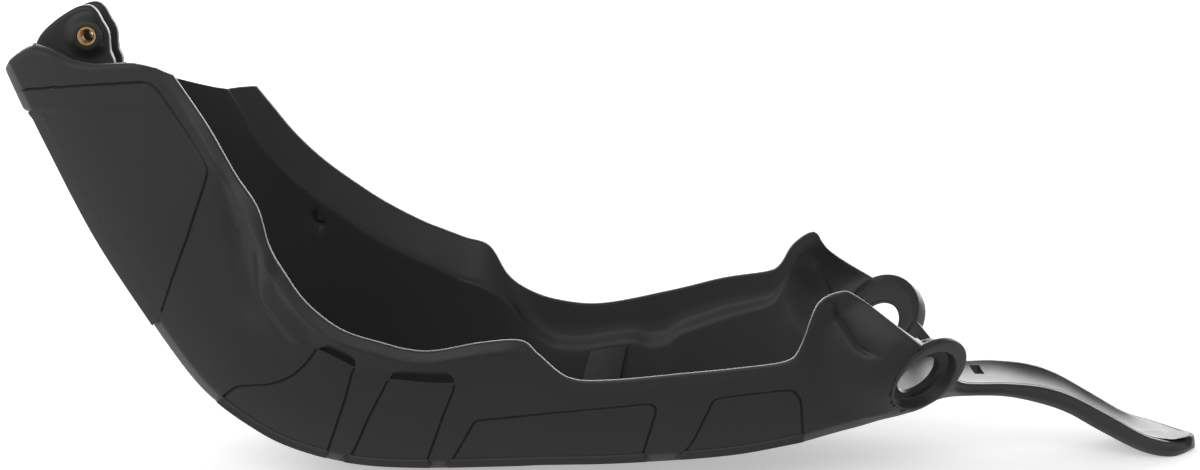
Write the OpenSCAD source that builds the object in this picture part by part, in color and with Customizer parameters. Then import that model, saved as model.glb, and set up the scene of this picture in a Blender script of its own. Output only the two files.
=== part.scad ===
/* [Overall size] */
// Length from the front lip to the tip of the tail
length = 630; // [560:1:700]
// Height of the front mounting ears above the lowest point of the tail
height = 239; // [215:1:265]
// Width of the flat bottom between its two bevels
floor_width = 156; // [140:1:176]
// Width across the rims of the two side walls
rim_width = 190; // [172:1:210]

/* [Walls] */
// Wall thickness of the moulding
wall = 4.5; // [3.5:0.25:5.5]
// Height of the bevel between the bottom and a side wall
bevel_height = 6; // [4:0.5:9]
// Width of the same bevel, seen from below
bevel_width = 8; // [6:0.5:11]
// Width of the turned-out lip along the left rim
lip_width = 6.5; // [4:0.5:9]
// Width of the panel grooves
groove_width = 2.4; // [1.6:0.2:3.2]
// Depth of the panel grooves
groove_depth = 1.4; // [0.8:0.1:2]

/* [Front ears] */
// Distance between the outer faces of the two front ears
ear_spacing = 33; // [29:0.5:40]
// Thickness of one front ear
ear_thickness = 8; // [6:0.5:11]
// Diameter of the conical boss on the ear at half its length
ear_boss_d = 18; // [15:0.5:22]
// Length of the conical boss outside the ear
ear_boss_length = 4; // [2:0.5:6]
// Outside diameter of the brass insert
insert_d = 10; // [9:0.5:12]
// Thread diameter of the brass insert
insert_thread_d = 8; // [6:1:8]
// Length of the brass insert
insert_length = 11; // [8:0.5:12]

/* [Rear bosses] */
// Outside diameter of a rear boss
boss_d = 46; // [42:0.5:52]
// Length of a rear boss along its axis
boss_length = 12; // [11:0.5:18]
// Diameter of the bolt hole through a rear boss
boss_hole_d = 17; // [13:0.5:20]
// Diameter of the seat for the bolt's collar
boss_seat_d = 24; // [21:0.5:28]
// Depth of that seat below the recess
boss_seat_depth = 4; // [2:0.5:5]
// Diameter of the recess round the seat
boss_recess_d = 35; // [31:0.5:38]
// Depth of the recess
boss_recess_depth = 4; // [2:0.5:5]
// Lean of the boss axis below the horizontal
boss_drop = 30; // [20:1:40]
// Turn of the boss axis towards the rear
boss_turn = 34; // [25:1:42]

/* [Hidden] */

black = "#2b2c2e";
brass = "#c79a4b";
near = -1;
far = 1;

// The outlines below are drawn at these sizes, and are stretched to the sizes set above.
drawn_length = 630.3;
drawn_middle = 2.83;
drawn_height = 238.8;
drawn_floor = 156;
drawn_rim = 190;
along = length / drawn_length;
up = height / drawn_height;
across_floor = floor_width / drawn_floor;
across_rim = rim_width / drawn_rim;

// Stations along the plate: x and z of the bottom edge, then half the width of the bottom.
spine = [
    [-311, 207, 24], [-292, 171, 33], [-265, 122, 44], [-236, 80, 54], [-215, 52, 60], [-200, 38, 65],
    [-182, 26, 69], [-166, 18, 72], [-144, 11.5, 75], [-121, 8, 77], [-93, 7, 78], [-64, 7.5, 78],
    [-45, 8, 78], [-34, 8.5, 78], [-20, 8.7, 78], [2, 9.2, 78], [39, 11.3, 78], [68, 14, 77],
    [93, 18.5, 76], [101, 20, 75], [111, 22.7, 74], [121, 25.3, 73], [130, 27.5, 72], [150, 33, 69],
    [164, 36, 60], [177, 35.5, 42], [189, 33.5, 29], [210, 33, 27.5], [228, 29.5, 27.5], [244, 24, 27.5],
    [262, 14, 27.5], [284, 3, 27], [301, 0, 26], [317, 0.5, 7]];
// The left rim at the same stations: x, z and distance from the middle.
left_rim = [
    [-218, 208, 72], [-201, 184, 78], [-186, 159, 84], [-175, 143, 88], [-169, 124, 91], [-161, 110, 93],
    [-150, 95, 94], [-133, 82, 95], [-112, 75, 95], [-100, 72, 95], [-87, 71.3, 95], [-63, 75.5, 95],
    [-43, 76.4, 94], [-34, 69, 93], [-19, 57, 92], [2, 55.8, 92], [37, 59, 92], [67, 62, 92],
    [91, 65.5, 91], [98, 74, 91], [106, 94.5, 90], [118, 100.5, 89], [126, 98, 88], [148, 83.5, 87],
    [164, 70, 80], [178, 52, 56], [189, 41.5, 33], [211, 40.8, 32], [230, 39, 32], [246, 34, 32],
    [265, 23.5, 32], [284, 12, 32], [296, 8, 29], [305, 6.5, 17]];
// The right rim at the same stations.
right_rim = [
    [-196, 185.5, 90], [-186, 172.5, 92], [-177, 161, 93], [-166, 149.5, 94], [-155, 140, 95],
    [-144, 132, 95], [-130, 122.5, 95], [-117, 115, 95], [-103, 108, 95], [-93, 104, 95], [-80, 99, 95],
    [-66, 94, 95], [-56, 78, 95], [-45, 69.5, 94], [-28, 63.5, 93], [-2, 61.3, 93], [38, 69, 93],
    [67, 76, 93], [92, 80, 92], [99, 84.5, 91], [106, 96, 90], [118, 103, 89], [126, 93, 88],
    [148, 80, 87], [164, 68, 80], [178, 52, 56], [189, 41.5, 33], [211, 40.8, 32], [230, 39, 32],
    [246, 34, 32], [265, 23.5, 32], [285, 12, 32], [301, 7, 31], [318, 5, 9]];
// Where the turned-out lip of the left rim starts and ends, and how far it stands out.
left_flare = [
    [0, 1], [1, 3], [2, 6], [3, 9], [5, 10], [7, 7], [11, 6], [12, 2], [13, 0.5], [26, 1], [33, 1]];
// Width of the band above the crease or step in the right wall, by station.
right_band = [
    [0, 17], [5, 18], [9, 20], [11, 24], [12, 17], [13, 22], [15, 22], [16, 24], [18, 18], [20, 12],
    [24, 6], [26, 3], [33, 3]];
// How far that band stands out: a slope in front, an upright step behind.
right_slope = [[0, 14], [3, 11], [9, 9], [11, 8], [13, 1], [26, 1], [33, 1]];
right_step = [[0, 0.5], [10, 0.5], [13, 4.5], [17, 4.5], [20, 1], [33, 0.5]];
// Outward belly of a side wall between bevel and rim, by station.
bulge = [[0, 3], [2, 6], [4, 5], [7, 3], [12, 0], [24, 0], [33, 0]];
// Forward crown of the front face, by station.
crown = [[0, 1], [2, 4], [3, 4], [5, 2], [8, 1], [24, 1], [26, -1], [33, -1]];
// Share of the full bevel, which fades out on the front face.
bevel_share = [[0, 0.4], [2.5, 0.4], [3.5, 1], [33, 1]];
// Rise of the front edge above its straight line, by distance left (-) or right of the middle.
front_edge = [
    [-72, 0], [-71, 3], [-68, 6.5], [-64, 6], [-58, 4.5], [-52, 6], [-44, 12], [-38, 12], [-32, 9],
    [-24, 1], [24, 1], [32, 9], [38, 10], [46, 0], [56, -3], [70, -5], [76, -4], [84, 0]];
// Distance between the first stations, which turns that rise into a part of a station.
front_pitch = 42;
// Panel grooves on the left wall: station, then share of the height from bevel to lip.
front_panel = [
    [0.36, 0], [0.32, 0.25], [0.24, 0.55], [0.19, 0.84], [0.28, 0.91], [0.5, 0.925], [1, 0.925],
    [1.5, 0.93], [1.7, 0.925], [1.85, 0.89], [2.2, 0.72], [2.5, 0.55], [2.7, 0.39], [2.9, 0.2], [3.08, 0]];
curved_panel = [[5.05, 0], [5.2, 0.13], [5.6, 0.24], [6, 0.36], [6.38, 0.51], [6.6, 0.69], [6.7, 0.84]];
curved_panel_end = [[7.6, 0.83], [7.7, 0.66], [7.8, 0.48], [7.93, 0.06], [7.95, -0.1]];
upright_panel = [[8.5, -0.1], [8.54, 0.11], [8.57, 0.42], [8.66, 0.81]];
upright_panel_end = [[10.46, 0.76], [10.36, 0.58], [10.26, 0.41], [10.05, 0], [10, -0.1]];
long_panel = [
    [10.45, -0.1], [10.6, 0.13], [10.82, 0.33], [10.95, 0.37], [11.4, 0.38], [11.9, 0.39], [12.7, 0.45],
    [13.5, 0.56], [14, 0.68], [14.5, 0.73], [15.2, 0.77], [15.5, 0.77], [15.63, 0.7], [15.58, 0.46],
    [15.5, 0.19], [15.43, -0.1]];
rear_panel = [
    [16, -0.1], [16.2, 0.2], [16.5, 0.7], [16.7, 0.76], [17.2, 0.77], [17.9, 0.75], [18.4, 0.65],
    [18.85, 0.45], [18.87, 0.2], [18.88, -0.1]];
// Two slots through the wall at the tops of the curved and the upright panel.
curved_slot = [[6.8, 0.85], [6.96, 0.9], [7.26, 0.9], [7.5, 0.87], [7.58, 0.85]];
upright_slot = [[8.8, 0.81], [9, 0.84], [9.7, 0.84], [10.25, 0.82], [10.4, 0.78]];
slot_height = 4.6;
// First and last station of the skirt below each panel, how far a skirt's front end leans forward, in
// stations, how far a skirt stands out, and where its lower edge lies as a share of the bevel's height.
skirts = [[5.05, 7.93], [8.5, 10], [10.45, 15.42], [16.02, 18.87]];
skirt_slant = 0.13;
skirt_proud = 1;
skirt_rise = 0.35;
// Outline of a front ear seen from the side.
ear_outline = [
    [-306, 203], [-299.5, 215.5], [-295.5, 223.5], [-287.5, 231], [-277, 237.5], [-270, 238.7],
    [-265.8, 235.7], [-263, 230.5], [-260, 224.5], [-259.3, 215], [-257.5, 207], [-264, 193],
    [-278, 183], [-291, 181]];
// Centre of the front bolt hole, then of each rear boss at its outer face with its reach from the middle.
ear_hole = [-270.5, 223];
left_boss_face = [164, 55.4];
right_boss_face = [160, 54.5];
boss_reach = 80;
// The raised strip up the inside of the right wall: its stations at the foot and at the head, its stops
// as shares of the wall's height, its thickness, and how deep it is bedded in the wall.
strip_foot = [14.3, 15.1];
strip_head = [14.55, 15.15];
strip_stops = [0.02, 0.35, 0.7, 0.95];
strip_thickness = 2;
strip_bed = 0.8;

// How much wider the ear's boss is at its root than at its face.
ear_boss_spread = 8;
// How far a cut runs past the faces that it opens, and a groove's cutter stands clear of the wall.
past = 1;
groove_clear = 1.5;
// Share of a groove's width at its mouth and at its bottom.
groove_mouth = 1.1;
groove_bottom = 0.75;

// Part of a station in each step of the mesh, and the last station.
step = 1 / 2;
last = len(spine) - 1;

function blend(a, b, t) = a * (1 - t) + b * t;
function wave(t) = 4 * t * (1 - t);
function tangent(list, i) = (list[min(i + 1, last)] - list[max(i - 1, 0)]) / 2;
// A smooth curve through the rows of a list, in straight line before its first row.
function curve(list, u) =
    let (i = max(0, min(last - 1, floor(u))), t = u - i, a = list[i], b = list[i + 1])
    u < 0 ? a + (b - a) * u :
    a * (2 * t ^ 3 - 3 * t ^ 2 + 1) + tangent(list, i) * (t ^ 3 - 2 * t ^ 2 + t)
    + b * (3 * t ^ 2 - 2 * t ^ 3) + tangent(list, i + 1) * (t ^ 3 - t ^ 2);

function placed(x, z) = [(x - drawn_middle) * along, z * up];
function bottom(u) = let (p = curve(spine, u)) [each placed(p.x, p.y), p.z * across_floor];
function rim(side, u) =
    let (p = curve(side == near ? left_rim : right_rim, u)) [each placed(p.x, p.y), p.z * across_rim];

// Direction of the bottom edge at a station.
function heading(u) = let (d = bottom(u + 0.1) - bottom(u - 0.1)) [d.x, d.y] / norm([d.x, d.y]);

// A point of the moulding: depth 0 is its outer face and depth 1 its inner one. Zone 0 is the bottom,
// 1 the bevel, 2 the wall and 3 the lip or the band, and t runs from the middle out to the rim.
function shape(u, side, zone, t, depth = 0) =
    let (
        edge = bottom(u), r = rim(side, u), rise = norm([r.x - edge.x, r.y - edge.y]),
        way = [r.x - edge.x, r.y - edge.y] / rise, fwd = heading(u), share = lookup(u, bevel_share),
        thick = depth * wall, lift = depth * min(wall, rise * 0.45),
        b = [edge.x, edge.y] + [-fwd.y, fwd.x] * lift,
        bevel = min(bevel_height * share, rise / 3) * (1 - 0.4 * depth),
        band = side == near ? lip_width * min(1, rise / 30) : min(lookup(u, right_band), rise / 2),
        out = side == near ? lookup(u, left_flare) : lookup(u, right_slope),
        ledge = side == near ? 0 : lookup(u, right_step),
        foot = b + way * bevel, root = [r.x, r.y] - way * min(band, rise - lift - bevel),
        y_foot = edge.z + min(bevel_width * share, (r.z - edge.z) * 0.8) - thick,
        y_edge = edge.z - thick * 0.6, y_root = r.z - out - ledge - thick,
        crest = lookup(u, crown) * (1 - t * t), s = min(1, t * 5))
    zone == 0 ? [b.x + fwd.y * crest, side * t * y_edge, b.y - fwd.x * crest] :
    zone == 1 ? let (p = blend(b, foot, t)) [p.x, side * blend(y_edge, y_foot, t), p.y] :
    zone == 2 ? let (p = blend(foot, root, t))
        [p.x, side * (blend(y_foot, y_root, t) + lookup(u, bulge) * wave(t)), p.y] :
    let (p = blend(root, [r.x, r.y], t)) [p.x, side * (y_root + ledge * s + out * t), p.y];

// The columns of the mesh from the left rim round to the right one.
wall_stops = [0, 0.2, 0.4, 0.6, 0.8];
columns = concat(
    [[near, 3, 1], [near, 3, 0.5], [near, 2, 1]],
    [for (i = [4:-1:0]) [near, 2, wall_stops[i]]],
    [for (t = [1, 0.75, 0.5, 0.25, 0]) [near, 0, t]],
    [for (t = [0.25, 0.5, 0.75, 1]) [far, 0, t]],
    [for (t = wall_stops) [far, 2, t]],
    [[far, 2, 1], [far, 3, 0.2], [far, 3, 0.6], [far, 3, 1]]);
rows = [for (u = [0:step:last + step / 2]) u];

// The front edge leaves its first station as the table of its rise says.
function start(y) = -lookup(y / across_rim, front_edge) / front_pitch;
function at(u, c, depth) =
    let (s = start(shape(0, c[0], c[1], c[2]).y), v = u < 2 ? blend(s, 2, u / 2) : u)
    shape(v, c[0], c[1], c[2], depth);
m = len(rows);
n = len(columns);
grid = [for (depth = [0, 1], u = rows, c = columns) at(u, c, depth)];
function id(side, i, j) = side * m * n + i * n + j;
function quad(a, b, c, d) = [[a, b, c], [a, c, d]];

module shell() {
    skins = [for (i = [0:m - 2]) for (j = [0:n - 2]) for (f = concat(
        quad(id(0, i, j), id(0, i + 1, j), id(0, i + 1, j + 1), id(0, i, j + 1)),
        quad(id(1, i, j), id(1, i, j + 1), id(1, i + 1, j + 1), id(1, i + 1, j)))) f];
    rims = [for (i = [0:m - 2]) for (f = concat(
        quad(id(0, i, 0), id(1, i, 0), id(1, i + 1, 0), id(0, i + 1, 0)),
        quad(id(0, i, n - 1), id(0, i + 1, n - 1), id(1, i + 1, n - 1), id(1, i, n - 1)))) f];
    ends = [for (j = [0:n - 2]) for (f = concat(
        quad(id(0, 0, j), id(0, 0, j + 1), id(1, 0, j + 1), id(1, 0, j)),
        quad(id(0, m - 1, j), id(1, m - 1, j), id(1, m - 1, j + 1), id(0, m - 1, j + 1)))) f];
    polyhedron(grid, concat(skins, rims, ends), convexity = 8);
}

// A point of the left wall's outer face, and the direction straight out of it.
function skin(p) = shape(p.x, near, 2, p.y);
function outward(p) =
    let (
        du = skin([p.x + 0.05, p.y]) - skin([p.x - 0.05, p.y]),
        dt = skin([p.x, p.y + 0.02]) - skin([p.x, p.y - 0.02]), k = cross(dt, du))
    k / norm(k) * sign(-k.y);

// A closed bar that follows a path on the left wall, from above its face to a depth inside it.
module channel(path, width, depth) {
    count = len(path);
    centres = [for (p = path) skin(p)];
    outs = [for (p = path) outward(p)];
    aims = [for (i = [0:count - 1])
        let (d = centres[min(i + 1, count - 1)] - centres[max(i - 1, 0)]) d / norm(d)];
    sides = [for (i = [0:count - 1]) cross(aims[i], outs[i]) * width / 2];
    ring = [for (i = [0:count - 1]) each [
        centres[i] + outs[i] * groove_clear + sides[i] * groove_mouth,
        centres[i] + outs[i] * groove_clear - sides[i] * groove_mouth,
        centres[i] - outs[i] * depth - sides[i] * groove_bottom,
        centres[i] - outs[i] * depth + sides[i] * groove_bottom]];
    bar(ring);
}

// A closed bar through rings of four points each.
module bar(points) {
    end = len(points) - 4;
    tube = [for (i = [0:4:end - 4], k = [0:3])
        each quad(i + k, i + (k + 1) % 4, i + 4 + (k + 1) % 4, i + 4 + k)];
    polyhedron(points, concat(tube, quad(3, 2, 1, 0), quad(end, end + 1, end + 2, end + 3)),
        convexity = 4);
}

// A smooth closed outline through a list of points.
function loop(points, parts = 4) = [
    for (i = [0:len(points) - 1], k = [0:parts - 1])
        let (
            c = len(points), t = k / parts, a = points[i], b = points[(i + 1) % c],
            ta = (b - points[(i + c - 1) % c]) / 2, tb = (points[(i + 2) % c] - a) / 2)
        a * (2 * t ^ 3 - 3 * t ^ 2 + 1) + ta * (t ^ 3 - 2 * t ^ 2 + t)
        + b * (3 * t ^ 2 - 2 * t ^ 3) + tb * (t ^ 3 - t ^ 2)];

ear_face = ear_spacing / 2;
hole_place = placed(ear_hole.x, ear_hole.y);

module ear(side) {
    translate([0, side > 0 ? ear_face : ear_thickness - ear_face, 0]) rotate([90, 0, 0])
        linear_extrude(ear_thickness) polygon([for (p = loop(ear_outline)) placed(p.x, p.y)]);
    along_hole(side) cylinder(h = ear_boss_length, d1 = ear_boss_d + ear_boss_spread / 2,
        d2 = ear_boss_d - ear_boss_spread / 2, $fn = 48);
}

// Puts its children on the axis of a front hole, with z pointing out of the ear's outer face.
module along_hole(side) {
    translate([hole_place.x, side * ear_face, hole_place.y]) rotate([-side * 90, 0, 0]) children();
}

// Puts its children on the axis of a rear boss, with z pointing out of its outer face.
module along_boss(side) {
    face = side == near ? left_boss_face : right_boss_face;
    place = placed(face.x, face.y);
    translate([place.x, side * boss_reach * across_rim, place.y])
        rotate([0, 0, side * (90 - boss_turn)]) rotate([0, 90 + boss_drop, 0]) children();
}

module boss(side) {
    along_boss(side) translate([0, 0, -boss_length]) cylinder(h = boss_length, d = boss_d, $fn = 96);
}

module boss_cut(side) {
    along_boss(side) {
        translate([0, 0, -2 * boss_length]) cylinder(h = 3 * boss_length, d = boss_hole_d, $fn = 96);
        translate([0, 0, -boss_recess_depth - boss_seat_depth])
            cylinder(h = boss_seat_depth + boss_length, d = boss_seat_d, $fn = 96);
        translate([0, 0, -boss_recess_depth])
            cylinder(h = boss_recess_depth + boss_length, d = boss_recess_d, $fn = 96);
    }
}

// The raised strip, a bar bedded in the wall's inner face.
module strip() {
    bar([for (t = strip_stops)
        let (
            a = shape(blend(strip_foot[0], strip_head[0], t), far, 2, t, 1),
            b = shape(blend(strip_foot[1], strip_head[1], t), far, 2, t, 1),
            bed = [0, strip_bed, 0], proud = [0, -strip_thickness, 0])
        each [b + bed, b + proud, a + proud, a + bed]]);
}

// The skirt below a panel: it squares off the bevel and stands proud of the wall.
module skirt(span) {
    parts = ceil((span[1] - span[0]) / step);
    bar([for (k = [0:parts])
        let (
            v = blend(span[0], span[1], k / parts), foot = shape(v, near, 1, 1),
            edge = shape(v - blend(skirt_slant, 0, k / parts), near, 1, 0),
            hem = shape(v - blend(skirt_slant, 0, k / parts), near, 1, skirt_rise))
        each [foot + [0, wall / 2, 0], edge + [0, wall / 2, wall / 4],
            [hem.x, foot.y - skirt_proud, hem.z], foot - [0, skirt_proud, 0]]]);
}

module plate() {
    color(black) difference() {
        union() {
            shell();
            strip();
            for (span = skirts) skirt(span);
            for (side = [near, far]) {
                ear(side);
                boss(side);
            }
        }
        for (path = [front_panel, curved_panel, curved_panel_end, upright_panel, upright_panel_end,
            long_panel, rear_panel]) channel(path, groove_width, groove_depth);
        for (path = [curved_slot, upright_slot]) channel(path, slot_height, 2 * wall);
        for (side = [near, far]) {
            boss_cut(side);
            along_hole(side) {
                translate([0, 0, -ear_thickness - past])
                    cylinder(h = ear_thickness + past, d = insert_thread_d, $fn = 48);
                translate([0, 0, ear_boss_length - insert_length])
                    cylinder(h = insert_length + past, d = insert_d, $fn = 48);
            }
        }
    }
}

module insert(side) {
    color(brass) along_hole(side) translate([0, 0, ear_boss_length - insert_length]) difference() {
        cylinder(h = insert_length, d = insert_d, $fn = 48);
        translate([0, 0, -past]) cylinder(h = insert_length + 2 * past, d = insert_thread_d, $fn = 48);
    }
}

module insert_left() {
    insert(near);
}

module insert_right() {
    insert(far);
}

plate();
insert_left();
insert_right();
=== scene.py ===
# %% [markdown]
# A motorcycle skid plate, made ready for its picture.
# The real object is one black plastic moulding with two small brass inserts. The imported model
# already has its size and its construction. This lesson gives it its finished surfaces: rounded
# edges, soft creases, panel grooves and a satin skin.

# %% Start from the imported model
import math

import bpy
import numpy as np
from mathutils.geometry import delaunay_2d_cdt
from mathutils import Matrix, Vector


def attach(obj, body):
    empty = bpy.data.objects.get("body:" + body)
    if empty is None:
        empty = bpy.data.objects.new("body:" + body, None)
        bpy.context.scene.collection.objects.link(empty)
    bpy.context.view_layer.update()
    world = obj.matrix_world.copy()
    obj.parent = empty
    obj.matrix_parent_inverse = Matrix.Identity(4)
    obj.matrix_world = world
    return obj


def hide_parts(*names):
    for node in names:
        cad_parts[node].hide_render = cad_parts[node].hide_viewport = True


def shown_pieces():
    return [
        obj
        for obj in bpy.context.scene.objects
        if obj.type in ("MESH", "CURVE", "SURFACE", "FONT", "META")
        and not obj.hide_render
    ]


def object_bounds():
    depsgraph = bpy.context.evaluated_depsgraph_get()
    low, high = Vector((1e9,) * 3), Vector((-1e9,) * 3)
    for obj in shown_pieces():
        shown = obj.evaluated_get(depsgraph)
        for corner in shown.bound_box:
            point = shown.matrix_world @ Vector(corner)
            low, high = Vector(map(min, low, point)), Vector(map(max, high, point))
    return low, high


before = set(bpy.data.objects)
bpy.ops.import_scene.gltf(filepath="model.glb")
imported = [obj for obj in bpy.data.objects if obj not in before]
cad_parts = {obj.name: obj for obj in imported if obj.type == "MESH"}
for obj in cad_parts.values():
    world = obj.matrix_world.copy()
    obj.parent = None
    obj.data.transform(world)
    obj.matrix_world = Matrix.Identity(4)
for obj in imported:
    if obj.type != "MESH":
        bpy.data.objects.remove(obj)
cad_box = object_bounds()
print("nodes:", sorted(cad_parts))

# %% [markdown]
# The moulding is a long channel. Its cross-section changes from the broad front to the narrow tail,
# so the shape is given at 34 stations: the bottom edge, the left rim and the right rim. Round numbers
# in millimetres are easy to read and to change, and a smooth curve runs through them.

# %% The stations, in millimetres
MM = 0.001
WALL = 4.5
BEVEL_HEIGHT, BEVEL_WIDTH, LIP_WIDTH, UNDER_LIP = 6.0, 8.0, 6.5, 18.0
# x and z of the bottom edge, then half the width of the bottom
SPINE = np.array([
    [-311, 207, 24], [-292, 171, 33], [-265, 122, 44], [-236, 80, 54], [-215, 52, 60], [-200, 38, 65],
    [-182, 26, 69], [-166, 18, 72], [-144, 11.5, 75], [-121, 8, 77], [-93, 7, 78], [-64, 7.5, 78],
    [-45, 8, 78], [-34, 8.5, 78], [-20, 8.7, 78], [2, 9.2, 78], [39, 11.3, 78], [68, 14, 77],
    [93, 18.5, 76], [101, 20, 75], [111, 22.7, 74], [121, 25.3, 73], [130, 27.5, 72], [150, 33, 69],
    [164, 36, 60], [177, 35.5, 42], [189, 33.5, 29], [210, 33, 27.5], [228, 29.5, 27.5], [244, 24, 27.5],
    [262, 14, 27.5], [284, 3, 27], [301, 0, 26], [317, 0.5, 7]], float)
# x, z and distance from the middle of each rim
LEFT_RIM = np.array([
    [-218, 208, 72], [-201, 184, 78], [-186, 159, 84], [-175, 143, 88], [-169, 124, 91], [-161, 110, 93],
    [-150, 95, 94], [-133, 82, 95], [-112, 75, 95], [-100, 72, 95], [-87, 71.3, 95], [-63, 75.5, 95],
    [-43, 76.4, 94], [-34, 69, 93], [-19, 57, 92], [2, 55.8, 92], [37, 59, 92], [67, 62, 92],
    [91, 65.5, 91], [98, 74, 91], [106, 94.5, 90], [118, 100.5, 89], [126, 98, 88], [148, 83.5, 87],
    [164, 70, 80], [178, 52, 56], [189, 41.5, 33], [211, 40.8, 32], [230, 39, 32], [246, 34, 32],
    [265, 24, 32], [284, 13.3, 32], [296, 9.3, 29], [305, 7, 17]], float)
RIGHT_RIM = np.array([
    [-196, 185.5, 90], [-186, 172.5, 92], [-177, 161, 93], [-166, 149.5, 94], [-155, 140, 95],
    [-144, 132, 95], [-130, 122.5, 95], [-117, 115, 95], [-103, 108, 95], [-93, 104, 95], [-80, 99, 95],
    [-66, 94, 95], [-56, 78, 95], [-45, 69.5, 94], [-28, 63.5, 93], [-2, 61.3, 93], [38, 69, 93],
    [67, 76, 93], [92, 80, 92], [99, 84.5, 91], [106, 96, 90], [118, 103, 89], [126, 93, 88],
    [148, 80, 87], [164, 68, 80], [178, 52, 56], [189, 41.5, 33], [211, 40.8, 32], [230, 39, 32],
    [246, 34, 32], [265, 23.5, 32], [285, 12, 32], [301, 7, 31], [318, 5, 9]], float)
LAST = len(SPINE) - 1
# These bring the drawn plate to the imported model's middle, length and height.
MIDDLE, ALONG, UP = 2.83, 630 / 630.3, 239 / 238.8
print(LAST + 1, "stations from", SPINE[0], "to", SPINE[LAST])

# %% Tables that change along the plate
def soft(rows, spread=0.25):
    """Read a table along straight lines, then average it under a bell curve of that many stations."""
    stations = np.linspace(-1, LAST, (LAST + 1) * 40 + 1)
    rows = np.array(rows, float)
    values = np.interp(stations, rows[:, 0], rows[:, 1])
    reach = int(spread * 120)
    bell = np.exp(-0.5 * (np.arange(-reach, reach + 1) / (spread * 40)) ** 2)
    values = np.convolve(np.pad(values, reach, mode="edge"), bell / bell.sum(), "valid")
    return lambda u: np.interp(u, stations, values)


# How far the left lip stands out, then the right band's height, its slope and the ledge below it.
left_flare = soft([
    [0, 1], [1, 3], [2, 6], [3, 9], [5, 10], [7, 7], [11, 6], [12, 2], [13, 0.5], [26, 1], [33, 1]])
right_band = soft([
    [0, 17], [5, 18], [9, 20], [11, 24], [12, 17], [12.5, 21], [13, 25], [13.7, 27.5], [14.3, 26], [15, 22],
    [15.45, 22.5], [15.55, 26], [15.75, 30], [15.95, 28], [16.06, 24], [18, 18], [20, 12], [24, 6], [26, 3],
    [33, 3]], 0.07)
right_slope = soft([[0, 14], [3, 11], [9, 9], [11, 8], [13, 1], [26, 1], [33, 1]])
right_step = soft([[0, 1.4], [10, 1.4], [13, 4.0], [17, 4.0], [18.6, 2.2], [19.4, 0], [33, 0]])
# The bow of the walls, the bead along the front of the bottom and the crown of the floor.
bulge = soft([[0, 3], [2, 6], [4, 5], [7, 3], [12, 0], [24, 0], [33, 0]])
bead = soft([[-1, 0.9], [0.64, 2.6], [0.68, 0], [33, 0]], 0.02)
crown = soft([[0, 1], [2, 4], [3, 4], [5, 2], [8, 1], [24, 1], [26, -1], [33, -1]])
print("lip stands out", left_flare(4.0).round(1), "mm at station 4")

# %% [markdown]
# Between two stations each row is found with a cubic that keeps the direction at both ends. The whole
# array of places is worked out at once, so a surface of fifty thousand points takes a moment.

# %% A smooth curve through the stations
def cubic(a, b, slope_a, slope_b, t):
    """From a to b with these slopes, t from 0 to 1: each of the four times its own cubic in t."""
    return (a * (2 * t**3 - 3 * t**2 + 1) + slope_a * (t**3 - 2 * t**2 + t)
            + b * (3 * t**2 - 2 * t**3) + slope_b * (t**3 - t**2))


def curve(rows, u):
    """Cubic between rows i and i + 1 with slopes from the rows beside them; straight before the first."""
    u = np.asarray(u, float)
    i = np.clip(np.floor(u), 0, LAST - 1).astype(int)
    t = (u - i)[..., None]
    a, b = rows[i], rows[i + 1]
    slope_a = (b - rows[np.maximum(i - 1, 0)]) / 2
    slope_b = (rows[np.minimum(i + 2, LAST)] - a) / 2
    return np.where(t < 0, a + (b - a) * t, cubic(a, b, slope_a, slope_b, t))


def placed(rows):
    """Drawn x, z and width to x, width and z of the model."""
    return np.stack([(rows[..., 0] - MIDDLE) * ALONG, rows[..., 2], rows[..., 1] * UP], -1)


def length_along(place):
    """Length of a row of points from the first up to each of them."""
    return np.concatenate([[0], np.cumsum(np.linalg.norm(np.diff(place, axis=0), axis=1))])


def unit(v):
    """Each vector divided by its own length."""
    return v / np.maximum(np.linalg.norm(v, axis=-1, keepdims=True), 1e-9)


print("bottom at station 10.5:", placed(curve(SPINE, 10.5)).round(1))

# %% [markdown]
# Half a cross-section runs from the middle out to a rim: the floor, the bevel, the wall and the lip.
# The coordinate s counts them: 0 to 1 is the floor, 1 to 2 the bevel, 2 to 3 the wall, 3 to 4 the lip,
# whose first fifth is the ledge at its foot.
# A moulding has no sharp edge, so each corner is eased by a small parabola between its two sides.

# %% Half a cross-section
# How far the left lip leans back, then the eased radius of the bottom edge, the top of the bevel and
# the foot of the left lip.
LEAN, EDGE_R, BEVEL_R, LIP_R = 1.3, 1.2, 0.9, 1.0


def eased(point, before, after, away, radius):
    """Near a corner, add half the change of direction times (radius - distance)^2 / (2 radius)."""
    near = np.clip(radius - np.abs(away), 0, None)
    return point + (unit(after) - unit(before)) / 2 * (near**2 / (2 * np.maximum(radius, 1e-6)))[..., None]


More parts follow.
